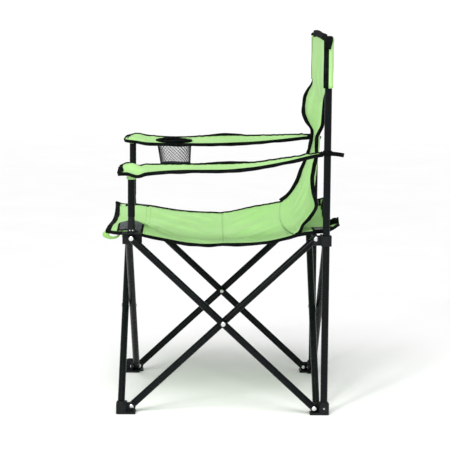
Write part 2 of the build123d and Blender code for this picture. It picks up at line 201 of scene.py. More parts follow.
def plastic_material():
    """Black moulded plastic: fine spark texture, faint flow marks, slightly worn shine."""
    material, shader = lit_material("moulded_plastic", 0.5, specular=0.16)
    n = Nodes(material, shader)
    flow = n.noise(1, 4, 0.6, n.stretched((60, 60, 22)))
    colour = n.ramp(flow, (0.3, (0.003, 0.004, 0.0045)), (0.75, (0.009, 0.011, 0.012)))
    rough = n.math("MULTIPLY_ADD", n.noise(120, 4, 0.7), 0.3, 0.34)
    n.finish(colour, n.bump(n.noise(1500, 2, 0.7), 0.00015, 0.6), rough)
    return material


def steel_material():
    """Bright zinc plate on rivets and pins: turned marks and a few dull spots."""
    material, shader = lit_material("zinc_plate", 0.3, metallic=1.0)
    n = Nodes(material, shader)
    dull = n.noise(240, 5, 0.7)
    colour = n.ramp(dull, (0.3, (0.50, 0.52, 0.52)), (0.6, (0.78, 0.80, 0.80)))
    rough = n.math("MULTIPLY_ADD", n.noise(400, 4), 0.35, 0.16)
    n.finish(colour, n.bump(n.noise(1400, 2), 0.0001, 0.5), rough)
    return material


def patch_material():
    """Heavy dark-grey basket weave, with a mottled coating."""
    material, shader = lit_material("patch_weave", 0.6, sheen=0.1, specular=0.5)
    n = Nodes(material, shader)
    basket = n.weave(0.0026)
    spots = n.noise(260, 3, 0.7)
    colour = n.ramp(spots, (0.38, (0.022, 0.026, 0.032)), (0.68, (0.16, 0.18, 0.20)))
    colour = n.mix(n.math("MULTIPLY", basket, 0.35), colour, (0.012, 0.014, 0.018, 1))
    n.finish(colour, n.bump(basket, 0.0007, 0.9, n.bump(spots, 0.0004, 0.6)))
    return material


GREEN = cloth_material(
    "lime_cloth", (0.36, 0.66, 0.22), (0.43, 0.735, 0.285), (0.48, 0.78, 0.34), 0.0012, 0.0022
)
GREEN_TAPE = cloth_material(
    "lime_webbing", (0.26, 0.56, 0.10), (0.33, 0.68, 0.15), (0.40, 0.74, 0.20), 0.0021, 0.0006
)
BLACK_TAPE = tape_material("black_binding", (0.002, 0.003, 0.003), (0.010, 0.012, 0.012))
GREEN_THREAD = tape_material("lime_thread", (0.22, 0.48, 0.10), (0.34, 0.66, 0.2), 0.0007)
BLACK_THREAD = tape_material("black_thread", (0.012, 0.013, 0.015), (0.06, 0.065, 0.07), 0.0007)
NET = tape_material("net_cord", (0.022, 0.028, 0.032), (0.07, 0.08, 0.09), 0.0008)
PATCH = patch_material()
TUBE = tube_material()
PLASTIC = plastic_material()
STEEL = steel_material()

by_slot = {"dark_tube": TUBE, "black_plastic": PLASTIC, "rivet_steel": STEEL}
slot_of = {row["node"]: row["material_slot"] for row in frame["record"]["subparts"]}
for node_name, node in frame["nodes"].items():
    node.data.materials.clear()
    node.data.materials.append(by_slot.get(slot_of[node_name], PATCH))


# ---------------------------------------------------------------- numbers and meshes
def through(*points):
    """A smooth function through rows of (place, value, ...), with no overshoot between them."""
    rows = np.array(points, float)
    at, value = rows[:, 0], rows[:, 1:]
    step = np.diff(at)[:, None]
    rise = np.diff(value, axis=0) / step
    slope = np.zeros_like(value)
    both = rise[:-1] * rise[1:]
    total = rise[:-1] + rise[1:]
    total[both <= 0] = 1
    slope[1:-1] = np.where(both > 0, 2 * both / total, 0)
    slope[0], slope[-1] = rise[0], rise[-1]

    def value_at(place):
        place = np.clip(np.asarray(place, float), at[0], at[-1])
        i = np.clip(np.searchsorted(at, place, side="right") - 1, 0, len(at) - 2)
        h = step[i]
        t = (place - at[i])[..., None] / h
        start = value[i] * (1 + 2 * t) * (1 - t) ** 2 + slope[i] * h * t * (1 - t) ** 2
        end = value[i + 1] * t * t * (3 - 2 * t) + slope[i + 1] * h * t * t * (t - 1)
        found = start + end
        return found[..., 0] if found.shape[-1] == 1 else found

    return value_at


def ease(t):
    t = np.clip(t, 0, 1)
    return t * t * (3 - 2 * t)


def unit(vectors):
    return vectors / np.maximum(np.linalg.norm(vectors, axis=-1, keepdims=True), 1e-12)


def full_turn(count):
    """Angles once round in radians, without the last one, which would meet the first."""
    return np.linspace(0, 2 * math.pi, count + 1)[:-1]


def around(axis, radius, angles, height):
    """Points at a distance round an upright axis, at angles in radians and at heights."""
    x = axis[0] + radius * np.cos(angles)
    y = axis[1] + radius * np.sin(angles)
    return np.stack(np.broadcast_arrays(x, y, height), axis=-1)


def mesh_object(name, points, faces, material):
    mesh = bpy.data.meshes.new(name)
    mesh.from_pydata([tuple(p) for p in points], [], faces)
    mesh.validate()
    mesh.shade_smooth()
    mesh.materials.append(material)
    obj = bpy.data.objects.new(name, mesh)
    bpy.context.scene.collection.objects.link(obj)
    return obj


def grid_faces(rows, columns, wrap=False):
    """Quads of a grid of points, row by row. With wrap, the last row joins the first."""
    faces = []
    for i in range(rows if wrap else rows - 1):
        k = (i + 1) % rows
        for j in range(columns - 1):
            faces.append(
                (i * columns + j, k * columns + j, k * columns + j + 1, i * columns + j + 1)
            )
    return faces


def final_mesh(obj):
    """The object's modifiers become part of its mesh."""
    depsgraph = bpy.context.evaluated_depsgraph_get()
    mesh = bpy.data.meshes.new_from_object(obj.evaluated_get(depsgraph))
    obj.modifiers.clear()
    obj.data = mesh
    obj.data.shade_smooth()
    return obj


def cloth_shell(name, grid, thickness, material, wrap=False, faces=None):
    """A sheet with real thickness, from a grid of points in millimetres."""
    if faces is None:
        faces = grid_faces(*grid.shape[:2], wrap)
    obj = mesh_object(name, grid.reshape(-1, 3) * MM, faces, material)
    shell = obj.modifiers.new("shell", "SOLIDIFY")
    shell.thickness = thickness * MM
    shell.offset = 0
    return final_mesh(obj)


# The furthest that a point may move as its sheet settles, in millimetres, and its share of gravity.
SETTLE_CAP = 2.2
SETTLE_GRAVITY = 0.12


def settle(grid, pinned, slack, frames):
    """Lets a sheet cut a little larger than its gap hang from its pinned points, and returns it."""
    faces = grid_faces(*grid.shape[:2])
    obj = mesh_object("settling", grid.reshape(-1, 3) * MM, faces, GREEN)
    held = obj.vertex_groups.new(name="held")
    held.add([int(i) for i in np.flatnonzero(pinned.reshape(-1))], 1.0, "REPLACE")
    cloth = obj.modifiers.new("cloth", "CLOTH")
    settings = cloth.settings
    settings.quality = 8
    settings.mass = 0.1
    settings.tension_stiffness = 20
    settings.compression_stiffness = 20
    settings.shear_stiffness = 8
    settings.bending_stiffness = 0.6
    settings.air_damping = 4
    settings.vertex_group_mass = "held"
    settings.shrink_min = -slack
    settings.effector_weights.gravity = SETTLE_GRAVITY
    cloth.collision_settings.use_collision = False
    cloth.point_cache.frame_end = frames
    scene = bpy.context.scene
    for number in range(1, frames + 1):
        scene.frame_set(number)
    depsgraph = bpy.context.evaluated_depsgraph_get()
    settled = obj.evaluated_get(depsgraph).data
    co = np.empty(len(settled.vertices) * 3, np.float32)
    settled.vertices.foreach_get("co", co)
    bpy.data.objects.remove(obj)
    scene.frame_set(1)
    moved = co.reshape(grid.shape).astype(float) / MM - grid
    far = np.linalg.norm(moved, axis=-1, keepdims=True)
    return grid + moved * np.minimum(1, SETTLE_CAP / np.maximum(far, 1e-9))


# Folds are this much higher and narrower than their listed numbers, and fade over this share
# of their length at each end.
FOLD_HEIGHT, FOLD_WIDTH, FOLD_FADE = 1.8, 0.85, 0.35


def fold_lift(x, y, folds):
    """Soft folds. Each is a line from x0, y0 to x1, y1 across the cloth, a height and a width."""
    lift = np.zeros_like(x)
    for x0, y0, x1, y1, height, width in folds:
        length = math.hypot(x1 - x0, y1 - y0)
        along = ((x - x0) * (x1 - x0) + (y - y0) * (y1 - y0)) / length**2
        off = ((x - x0) * (y1 - y0) - (y - y0) * (x1 - x0)) / length
        fade = ease(along / FOLD_FADE) * ease((1 - along) / FOLD_FADE)
        lift += FOLD_HEIGHT * height * fade * np.exp(-((off / (FOLD_WIDTH * width)) ** 2))
    return lift


def border(grid):
    """Which points of a grid are on its edge."""
    pinned = np.zeros(grid.shape[:2], bool)
    pinned[[0, -1], :] = True
    pinned[:, [0, -1]] = True
    return pinned


def edge(grid, side):
    """An edge of a sheet: its points, the way into the sheet, and the sheet's normal.

    The way in is read from two rows in, because one row alone is too uneven.
    """
    line, beside = {
        "first_row": (grid[0], grid[2]),
        "last_row": (grid[-1], grid[-3]),
        "first_column": (grid[:, 0], grid[:, 2]),
        "last_column": (grid[:, -1], grid[:, -3]),
    }[side]
    return lined(line, beside - line)


def lined(line, inward):
    """A line with the way in made square to it, and the normal of the two."""
    along = unit(np.gradient(line, axis=0))
    inward = unit(inward - (inward * along).sum(-1, keepdims=True) * along)
    return line, inward, unit(np.cross(along, inward))


def rolled(edge_line, toward, share, seed=0.0):
    """The same edge with its tape turned part of the way from lying in the sheet to another way."""
    line, inward, _ = edge_line
    along = unit(np.gradient(line, axis=0))
    toward = np.broadcast_to(np.asarray(toward, float), line.shape)
    toward = unit(toward - (toward * along).sum(-1, keepdims=True) * along)
    turn = np.clip(share * (1 + 0.12 * wobble(line, seed, 83.0)), 0, 0.95)[:, None]
    turned_in = unit(inward * (1 - turn) + toward * turn)
    return line, turned_in, unit(np.cross(along, turned_in))


def wobble(line, seed, length=67.0):
    """A gentle unevenness along a sewn line, from -1 to 1."""
    along = np.r_[0, np.cumsum(np.linalg.norm(np.diff(line, axis=0), axis=1))]
    waves = [math.pi * 2 * along / (length * k) + seed * (k + 1.3) for k in (1, 2.3, 0.61)]
    return (np.sin(waves[0]) + np.sin(waves[1]) + 0.6 * np.sin(waves[2])) / 2.6


def band(name, edge_line, width, thickness, material, seed=0.0, uneven=0.1, outside=0.9):
    """Tape folded over an edge. It goes a little past the edge, and in over both faces."""
    line, inward, normal = edge_line
    sway = wobble(line, seed)[:, None]
    w = width * (1 + uneven * sway)
    h = thickness / 2 * (1 + 1.2 * uneven * wobble(line, seed + 2.1)[:, None])
    section = [
        (-outside, -0.55 * h),
        (-outside, 0.55 * h),
        (-0.3 * outside, h),
        (0.5 * w, 0.92 * h),
        (w - 0.8, h),
        (w, 0.5 * h),
        (w, -0.5 * h),
        (w - 0.8, -h),
        (0.5 * w, -0.92 * h),
        (-0.3 * outside, -h),
    ]
    rings = np.stack([line + a * inward + b * normal for a, b in section], axis=1)
    rows, columns = rings.shape[:2]
    faces = []
    for i in range(rows - 1):
        for j in range(columns):
            a, b = i * columns, i * columns + columns
            k = (j + 1) % columns
            faces.append((a + j, a + k, b + k, b + j))
    faces.append(tuple(range(columns))[::-1])
    faces.append(tuple((rows - 1) * columns + j for j in range(columns)))
    return mesh_object(name, rings.reshape(-1, 3) * MM, faces, material)


def resample(line, pitch, *others):
    """Points a set distance apart along a line, and the same points of lists that go with it."""
    along = np.r_[0, np.cumsum(np.linalg.norm(np.diff(line, axis=0), axis=1))]
    at = np.arange(pitch / 2, along[-1], pitch)
    return [
        np.stack([np.interp(at, along, values[:, k]) for k in range(3)], axis=1)
        for values in (line, *others)
    ]


def stitches(name, seams, material, pitch=3.4, length=2.5, radius=0.32, sides=(1, -1)):
    """Thread along one or more sewn lines. A seam is an edge line, an inset, and a lift."""
    points, faces = [], []
    turns = 5
    for (line, inward, normal), inset, lift in seams:
        centre, way_in, up = resample(line, pitch, inward, normal)
        along = unit(np.gradient(centre, axis=0))
        for c, a, i, n in zip(centre, along, way_in, up):
            for side in sides:
                base = c + i * inset + side * n * lift
                start = len(points)
                for share, size in ((-0.5, 0.35), (-0.3, 1), (0.3, 1), (0.5, 0.35)):
                    dip = 0.6 * radius if abs(share) == 0.5 else 0
                    for turn in range(turns):
                        angle = 2 * math.pi * turn / turns
                        out = math.cos(angle) * i + math.sin(angle) * n
                        points.append(
                            base + share * length * a + size * radius * out - side * dip * n
                        )
                for ring in range(3):
                    for turn in range(turns):
                        p = start + ring * turns + turn
                        q = start + ring * turns + (turn + 1) % turns
                        faces.append((p, q, q + turns, p + turns))
                faces.append(tuple(start + turn for turn in range(turns))[::-1])
                faces.append(tuple(start + 3 * turns + turn for turn in range(turns)))
    return mesh_object(name, np.array(points) * MM, faces, material)


def ribbon(name, path, across, width, thickness, material):
    """A flat strap along a path of centre points. across is the way its width runs."""
    path = np.array(path, float)
    across = unit(np.broadcast_to(np.asarray(across, float), path.shape))
    along = unit(np.gradient(path, axis=0))
    across = unit(across - (across * along).sum(-1, keepdims=True) * along)
    normal = np.cross(along, across)
    start = path - across * width / 2
    return band(name, (start, across, normal), width, thickness, material, 0.7, 0.03, 0)


def hoop(axis, radius, height, count):
    """A closed sewn line round an upright axis. Its way in is up."""
    line = around(axis, radius, np.linspace(0, 2 * math.pi, count), height)
    return lined(line, np.tile(Z, (count, 1)))


def place(obj, body, gather=None, slot="green_fabric", stands_for=()):
    """Hangs a finished piece on its body, hides the parts that it stands for, and gives a gathering
    piece a mesh of its own.
    """
    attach(obj, body)
    if stands_for:
        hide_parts(*stands_for)
    if gather:
        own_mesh(obj)
    return obj


def three_lines(near, middle, far, t):
    """A surface through three lines: the near edge at t = 1, the middle at 0, the far at -1."""
    return near * t * (t + 1) / 2 + middle * (1 - t * t) + far * t * (t - 1) / 2


# ---------------------------------------------------------------- sizes read from the frame
def centre_of(node):
    low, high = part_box(node)
    return (np.array(low) + np.array(high)) / 2 / MM


# The sitter's left is toward +X.
SIDES = {"left": 1, "right": -1}
seat_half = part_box("seat_front")[1].x / MM
rear_post = {side: centre_of(f"post_rear_{side}") for side in SIDES}
arm_post = {side: centre_of(f"post_front_{side}") for side in SIDES}
cup_middle = centre_of("cup_ring")
sleeve_low, sleeve_high = (corner.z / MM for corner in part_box("back_sleeve_left"))
back_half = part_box("back_upper")[1].x / MM
seam_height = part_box("back_lower")[1].z / MM

# In millimetres: the spacing of a sheet's points, its thickness, and the width of its edge tape.
CLOTH_STEP = 5.0
CLOTH = 0.7
BINDING = 7.0

# ---------------------------------------------------------------- seat
# How far each half reaches from the middle of the seat, and how far its end hem bows in.
seat_reach = {"front": (262.0, 7.0), "rear": (255.0, 6.0)}
seat_folds = {
    "front": (
        (10, -205, 150, -95, 3.6, 11), (70, -232, 190, -120, 2.6, 10),
        (-70, -185, 60, -20, 3.0, 15), (-160, -190, -60, -30, 2.6, 14),
        (120, -110, 190, -10, 2.4, 12), (-190, -90, -110, -5, 2.2, 11),
    ),
    "rear": (
        (-30, 4, -190, 130, 4.2, 10), (110, 6, -90, 125, 4.4, 12), (185, 15, 20, 150, 3.6, 11),
        (-120, 20, -200, 90, 2.6, 8), (60, 60, -20, 160, 2.4, 10), (150, 160, 90, 240, 2.4, 10),
        (-150, 160, -80, 240, 2.4, 10),
    ),
}
# Each row is a place from front to rear, then the height of the cloth there.
seat_curves = {
    "front": {
        "near": through(
            (-262, 410), (-240, 407.5), (-222, 407), (-200, 406), (-183, 402),
            (-127, 391), (-72, 382), (-35, 380), (0, 382),
        ),
        "middle": through((-262, 415), (-200, 409), (-120, 396), (-60, 388), (0, 384)),
        "far": through(
            (-262, 425), (-236, 418), (-181, 416), (-116, 407), (-67, 403), (0, 400)
        ),
    },
    "rear": {
        "near": through(
            (0, 382), (50, 383), (95, 387), (140, 397), (166, 405), (194, 410), (222, 413),
            (240, 419), (255, 429),
        ),
        "middle": through((0, 384), (60, 390), (120, 400), (160, 405), (210, 409), (255, 415)),
        "far": through(
            (0, 400), (34, 407), (64, 414), (100, 421), (143, 428), (190, 431), (222, 433),
            (255, 440),
        ),
    },
}


def corner_rise(x, y):
    """The cloth stands up a little just inside each corner, where the patches stiffen it."""
    inside = seat_half - np.abs(x)
    # The hump starts at the side edge, is highest 45 mm in, and has faded out 165 mm in.
    hump = ease((inside + 12) / 57) * (1 - ease((inside - 45) / 120)) - ease((12 - inside) / 57)
    hump = np.maximum(hump, 0) * ease(inside / 12)
    front = np.where(x > 0, 19, 12) * np.exp(-(((y + 202) / 44) ** 2))
    return hump * (front + 5 * np.exp(-(((y - 200) / 35) ** 2)))


def seat_grid(half):
    columns = int(2 * seat_half / CLOTH_STEP) + 1
    length, bow = seat_reach[half]
    rows = int(length / CLOTH_STEP) + 1
    t, v = np.meshgrid(np.linspace(-1, 1, columns), np.linspace(0, 1, rows), indexing="ij")
    y = (v - 1 if half == "front" else v) * (length - bow * (1 - t * t))
    x = t * seat_half
    # The right edge is cut back round the neck that carries the arm post.
    notch = 17 * np.exp(-(((y - arm_post["right"][1]) / 13) ** 2))
    x = x + notch * ease((-t - 0.75) / 0.25)
    curves = seat_curves[half]
    z = three_lines(curves["near"](y), curves["middle"](y), curves["far"](y), t)
    z = z + corner_rise(x, y) + fold_lift(x, y, seat_folds[half])
    return np.stack([x, y, z], axis=-1)


def column_at(grid, y):
    """The column whose middle point is nearest to a place from front to rear."""
    return int(np.abs(grid[grid.shape[0] // 2, :, 1] - y).argmin())


seat = {}
for half in seat_reach:
    grid = seat_grid(half)
    seat[half] = settle(grid, border(grid), 0.008, 18)

# The pieces that are sewn to each sheet are kept in a list for that sheet.
sewn_to = {}
for half, grid in seat.items():
    body = f"seat_{half}_half"
    end = "first_column" if half == "front" else "last_column"
    extra, seams = [], []
    # Each tape turns toward a way by a share. The rear hem curls up at its two corners.
    turns = {
        "first_column": (-Z, 0.06),
        "last_column": (Z, 0.2 + 0.65 * ease((np.abs(grid[:, -1, 0]) - 120) / 60)),
        "first_row": (Z, 0.32),
        "last_row": (-Z, 0.72),
    }
    for number, side in enumerate((end, "first_row", "last_row")):
        line = rolled(edge(grid, side), *turns[side], number)
        width = BINDING + 7 if side == end else BINDING
        tape = band(f"seat_{half}_binding_{number}", line, width, 2.4, BLACK_TAPE, number, 0.14)
        extra.append(place(tape, body, "seat", "black_webbing"))
        seams.append((line, width - 1.6, 1.25))
    thread = stitches(f"seat_{half}_edge_thread", seams, BLACK_THREAD)
    extra.append(place(thread, body, "seat", "black_webbing"))
    # Two rows of stitching across the seat hold the hem of its end.
    at = {"front": -180.0, "rear": 144.0}[half]
    rows = []
    for offset in (0.0, 6.0):
        index = column_at(grid, at + offset)
        line = lined(grid[:, index], grid[:, index + 1] - grid[:, index])
        rows.append((line, 0.0, 0.42))
    thread = stitches(f"seat_{half}_hem_thread", rows, GREEN_THREAD)
    extra.append(place(thread, body, "seat", "green_fabric"))
    cloth = cloth_shell(f"seat_{half}_cloth", grid, CLOTH, GREEN)
    place(cloth, body, "seat", "green_fabric", (f"seat_{half}",))
    sewn_to[half] = extra

# ---------------------------------------------------------------- corner patches and loops
# From where to where each patch reaches along the seat, and how many rows of the sheet it covers.
patch_bounds = {"front": (-231.0, -177.0), "rear": (196.0, 236.0)}
PATCH_ROWS = 11
for half, bounds in patch_bounds.items():
    grid = seat[half]
    first, last = (column_at(grid, y) for y in bounds)
    for side, rows in (("left", slice(-PATCH_ROWS - 1, -1)), ("right", slice(1, PATCH_ROWS + 1))):
        part = grid[rows, first : last + 1]
        along_u, along_v = np.gradient(part, axis=0), np.gradient(part, axis=1)
        normal = unit(np.cross(along_u, along_v))
        normal = normal * np.sign(normal[..., 2:])
        part = part + normal * 1.3
        name = f"corner_patch_{half}_{side}"
        body = f"seat_{half}_half"
        obj = cloth_shell(f"{name}_cloth", part, 1.1, PATCH)
        sewn_to[half].append(place(obj, body, "seat", "grey_patch", (name,)))
        seams = []
        for number, which in enumerate(("first_row", "last_row", "first_column", "last_column")):
            line = edge(part, which)
            tape = band(f"{name}_edging_{number}", line, 4.0, 2.0, BLACK_TAPE, number + 0.4)
            sewn_to[half].append(place(tape, body, "seat", "black_webbing"))
            seams.append((line, 2.6, 1.15))
        thread = stitches(f"{name}_thread", seams, BLACK_THREAD, sides=(1,))
        sewn_to[half].append(place(thread, body, "seat", "black_webbing"))

for side, direction in SIDES.items():
    node = f"corner_loop_front_{side}"
    low, high = (np.array(corner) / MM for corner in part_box(node))
    middle, half = (low + high) / 2, (high - low) / 2
    angles = full_turn(48)
    out = (half[1] - 0.8) * np.cos(angles)
    up = (half[2] - 0.8) * np.sin(angles)
    points = []
    for across in np.linspace(-12, 12, 9):
        # The webbing is twisted, so its outer end is narrower and its face shows from the side.
        size = 0.77 - 0.23 * direction * across / 12
        points.append(
            np.stack(
                [
                    np.full_like(out, middle[0] + across),
                    middle[1] + size * out + (1 - size) * (half[1] - 6),
                    middle[2] + size * up + (1 - size) * (half[2] - 4),
                ],
                axis=1,
            )
        )
    grid = np.stack(points, axis=1)
    obj = cloth_shell(f"{node}_webbing", grid, 1.5, GREEN_TAPE, wrap=True)
    sewn_to["front"].append(place(obj, "seat_front_half", "seat", "green_webbing", (node,)))

# ---------------------------------------------------------------- back
# Each row is a height, then how far back the cloth lies there.
upper_near = through(
    (560, 196), (581, 201), (600, 200), (618, 200.5), (634, 207), (648, 213), (670, 214.5),
    (702, 217), (729, 221), (842, 221.5),
)
upper_middle = through((560, 219), (600, 222), (640, 221), (690, 221), (740, 220.5), (842, 221))
upper_far = through(
    (560, 216), (589, 221), (606, 222), (616, 219), (630, 208), (655, 200), (684, 202.5),
    (700, 208), (713, 213), (735, 215), (776, 215), (842, 215.5),
)
# The lower back rises from its seam across the seat: rows of a share of the way up, Y and Z.
lower_near = through(
    (0, 158, 404), (0.06, 166, 409), (0.15, 174, 426), (0.24, 187, 441), (0.41, 202, 468),
    (0.6, 194.5, 498), (0.78, 191.5, 526), (1, 196, 560),
)
lower_middle = through(
    (0, 136, 404.5), (0.08, 152, 409), (0.2, 174, 426), (0.45, 203, 470), (0.7, 214, 512),
    (1, 219, 560),
)
lower_far = through(
    (0, 143, 428), (0.12, 158, 438), (0.24, 169, 451), (0.4, 187, 480), (0.6, 198, 512),
    (0.8, 209, 540), (1, 216, 560),
)
# Rows of a height and the half width there.
edge_reach = through((400, 205), (600, 205), (700, 208), (729, back_half - 3), (842, back_half))
BACK_TOP = 843.5

back_folds = {
    "lower": (
        (185, 405, 120, 560, 4.5, 11), (150, 402, 30, 550, 5.0, 13), (90, 400, -60, 540, 4.5, 12),
        (-20, 405, -110, 560, 4.0, 12), (-100, 415, -150, 560, 3.5, 10),
    ),
    "upper": (
        (130, 560, 70, 715, 4.5, 12), (60, 565, 20, 700, 4.0, 12), (-70, 560, -40, 720, 4.0, 13),
        (-150, 575, -110, 740, 3.5, 11), (30, 700, 45, 840, 2.2, 14),
        (-90, 730, -100, 840, 2.0, 13),
    ),
}


def back_grid(part):
    if part == "upper":
        heights = np.arange(seam_height, BACK_TOP, CLOTH_STEP)
        t, z = np.meshgrid(np.linspace(-1, 1, 87), heights, indexing="ij")
        y = three_lines(upper_near(z), upper_middle(z), upper_far(z), t)
    else:
        t, v = np.meshgrid(np.linspace(-1, 1, 83), np.linspace(0, 1, 35), indexing="ij")
        yz = three_lines(lower_near(v), lower_middle(v), lower_far(v), t[..., None])
        y, z = yz[..., 0], yz[..., 1]
    x = t * edge_reach(z)
    if part == "upper":
        # Between the sleeves the cloth is flat, and turns back to each post from a soft crease.
        flat = 216 + 5.5 * ease((np.abs(x) - 146) / 66)
        y = y + (flat - y) * ease((z - 700) / 45)
    y = y - fold_lift(x, z, back_folds[part])
    return np.stack([x, y, z], axis=-1)


back = {}
for part in ("lower", "upper"):
    grid = back_grid(part)
    back[part] = settle(grid, border(grid), 0.010, 18)

back_body = {"upper": "rear_left", "lower": "rear_left_bracket"}
for part, grid in back.items():
    body = back_body[part]
    extra, seams = [], []
    for number, side in enumerate(("first_row", "last_row")):
        toward, share = (-Y, 0.8) if side == "first_row" else (Y, 0.55)
        if part == "upper":
            share = share * ease((sleeve_low + 20 - grid[0, :, 2]) / 70)
        line = rolled(edge(grid, side), toward, share, number)
        if part == "upper":
            # Above here the edge is inside the sleeve.
            below = line[0][:, 2] < sleeve_low + 8
            line = [values[below] for values in line]
        name = f"back_{part}_binding_{number}"
        tape = band(name, line, BINDING + 2, 2.8, BLACK_TAPE, number + 3, 0.16)
        extra.append(place(tape, body, "back", "black_webbing"))
        seams.append((line, BINDING - 0.6, 1.35))
    thread = stitches(f"back_{part}_edge_thread", seams, BLACK_THREAD)
    extra.append(place(thread, body, "back", "black_webbing"))
    # The seam across the back is a felled one: a narrow double thickness and two rows of thread.
    line = edge(grid, "first_column" if part == "upper" else "last_column")
    fell = band(f"back_{part}_fell", line, 8.0, 1.9, GREEN, 6, 0.04, 0.1)
    extra.append(place(fell, body, "back", "green_fabric"))
    seams = [(line, 2.0, 1.05), (line, 6.6, 1.05)]
    thread = stitches(f"back_{part}_seam_thread", seams, GREEN_THREAD)
    extra.append(place(thread, body, "back", "green_fabric"))
    cloth = cloth_shell(f"back_{part}_cloth", grid, CLOTH, GREEN)
    place(cloth, body, "back", "green_fabric", (f"back_{part}",))
    sewn_to[part] = extra

# Sleeves round the posts, with tape down the outer front of each, and the band along the top.
SLEEVE_RADIUS = 9.9
for side, direction in SIDES.items():
    post = rear_post[side]
    body = f"rear_{side}"
    node = f"back_sleeve_{side}"
    heights = np.arange(sleeve_low, sleeve_high + 5, 3.0)
    a, z = np.meshgrid(full_turn(48), heights, indexing="ij")
    radius = SLEEVE_RADIUS + 0.28 * np.sin(3 * a + z / 17) + 0.22 * np.sin(2 * a - z / 11)
    obj = cloth_shell(f"{node}_cloth", around(post, radius, a, z), 0.8, GREEN, wrap=True)
    sewn_to["upper"].append(place(obj, body, None, "green_fabric", (node,)))
    facing = 0 if side == "left" else 180
    turn = np.radians(np.linspace(facing - 88 * direction, facing - 4 * direction, 12))
    a, z = np.meshgrid(turn, heights, indexing="ij")
    grid = around(post, SLEEVE_RADIUS + 1.0 + 0.2 * np.sin(z / 13), a, z)
    tape = cloth_shell(f"{node}_tape", grid, 1.1, BLACK_TAPE)
    sewn_to["upper"].append(place(tape, body, None, "black_webbing"))
    line = lined(grid[-1], grid[-2] - grid[-1])
    thread = stitches(f"{node}_thread", [(line, 1.6, 0.75)], BLACK_THREAD)
    sewn_to["upper"].append(place(thread, body, None, "black_webbing"))
    hem = hoop(post, SLEEVE_RADIUS + 0.25, sleeve_low + 3.5, 60)
    thread = stitches(f"{node}_hem_thread", [(hem, 0, 0.35)], GREEN_THREAD)
    sewn_to["upper"].append(place(thread, body, None, "green_fabric"))
    # The sleeve closes over its post in a small dome, and the top band's end is folded over it.
    angles = full_turn(40)
    rings = []
    for radius, height in ((10.6, -9), (10.8, -3), (10.2, 0), (8.4, 2.4), (5, 3.4), (0.5, 3.8)):
        droop = 0.9 * np.sin(2 * angles + radius) * (radius / 12)
        rings.append(around(post, radius, angles, sleeve_high + 2 + height + droop))
    lid = cloth_shell(f"{node}_top", np.stack(rings, axis=1), 0.9, GREEN, wrap=True)
    sewn_to["upper"].append(place(lid, body, None, "green_fabric"))
    # Each row is a share of the way along, then how far out, back and up from the sleeve's top.
    path = through(
        (0, -22, -8, 1), (0.3, -6, -3, 5.5), (0.5, 6, 0, 5), (0.62, 12.4, 1, 0),
        (0.8, 12.9, -1.5, -10), (1, 12.1, -4, -21),
    )(np.linspace(0, 1, 25))
    path = path * (direction, 1, 1) + (post[0], post[1], sleeve_high + 1)
    end = ribbon(f"{node}_band_end", path, Y, 14.0, 2.6, BLACK_TAPE)
    sewn_to["upper"].append(place(end, body, None, "black_webbing"))

top_line = back["upper"][:, -1]
sewn, way_in, out = lined(top_line, np.tile(-Z, (len(top_line), 1)))
# The band arches a little between the posts.
top_rise = 5.0 + 6.0 * (1 - (top_line[:, :1] / back_half) ** 2)
top_edge = (sewn + Z * top_rise, way_in, out)
top_band = band("back_top_binding", top_edge, 15.0, 3.0, BLACK_TAPE, 1.0, 0.06)
sewn_to["upper"].append(place(top_band, "rear_left", "back", "black_webbing"))
thread = stitches("back_top_thread", [(top_edge, 12.5, 1.65)], BLACK_THREAD)
sewn_to["upper"].append(place(thread, "rear_left", "back", "black_webbing"))

# ---------------------------------------------------------------- arm rests
# Each row is a place along the arm, then how far out its inner edge and its outer edge are.
arm_plan = through(
    (-241, 190, 268), (-234, 181, 276), (-214, 176, 280), (50, 176.5, 279.5),
    (105, 184, 270), (160, 201, 256), (200, 211, 244), (216, 213, 240),
)
# Each row is a place along the arm, then the height of its inner edge and of its outer edge.
arm_heights = {
    "left": through(
        (-241, 545, 545), (-214, 557, 546), (-189, 551, 540), (-170, 555, 546), (-88, 556, 552),
        (-6, 556, 553), (53, 559.5, 558), (131, 572, 570), (197, 584, 584), (216, 587, 587),
    ),
    "right": through(
        (-241, 580, 582), (-214, 577, 588), (-180, 574, 584), (-120, 573, 580), (-56, 573, 583),
        (60, 577, 586), (131, 582, 589), (197, 588, 592), (216, 590, 592),
    ),
}
# The height to which each arm post lifts the cloth, and where each arm rest's front end is.
arm_tip = {"left": 561.0, "right": 587.0}
arm_front = {"left": -232.0, "right": -241.0}


def arm_grid(side):
    direction, post = SIDES[side], arm_post[side]
    places = np.linspace(arm_front[side], 216, 93)
    u, y = np.meshgrid(np.linspace(0, 1, 23), places, indexing="ij")
    plan = arm_plan(y)
    x = plan[..., 0] + u * (plan[..., 1] - plan[..., 0])
    ends = arm_heights[side](y)
    z = ends[..., 0] + u * (ends[..., 1] - ends[..., 0])
    z = z - 3.5 * np.sin(math.pi * u) * ease((y + 190) / 60) * (1 - ease((y - 120) / 80))
    apart = np.hypot(direction * x - post[0], y - post[1])
    tent = arm_tip[side] - 0.02 * apart**1.6
    blend = np.exp(-((apart / 26) ** 2))
    z = z + blend * np.maximum(tent - z, 0)
    return np.stack([direction * x, y, z], axis=-1)


CUP_HOLE = 42.0
arm = {}
for side, post in arm_post.items():
    grid = arm_grid(side)
    pinned = border(grid)
    pinned |= np.hypot(grid[..., 0] - post[0], grid[..., 1] - post[1]) < 11
    if side == "right":
        apart = np.hypot(grid[..., 0] - cup_middle[0], grid[..., 1] - cup_middle[1])
        pinned |= apart < CUP_HOLE + 6
    arm[side] = settle(grid, pinned, 0.010, 16)

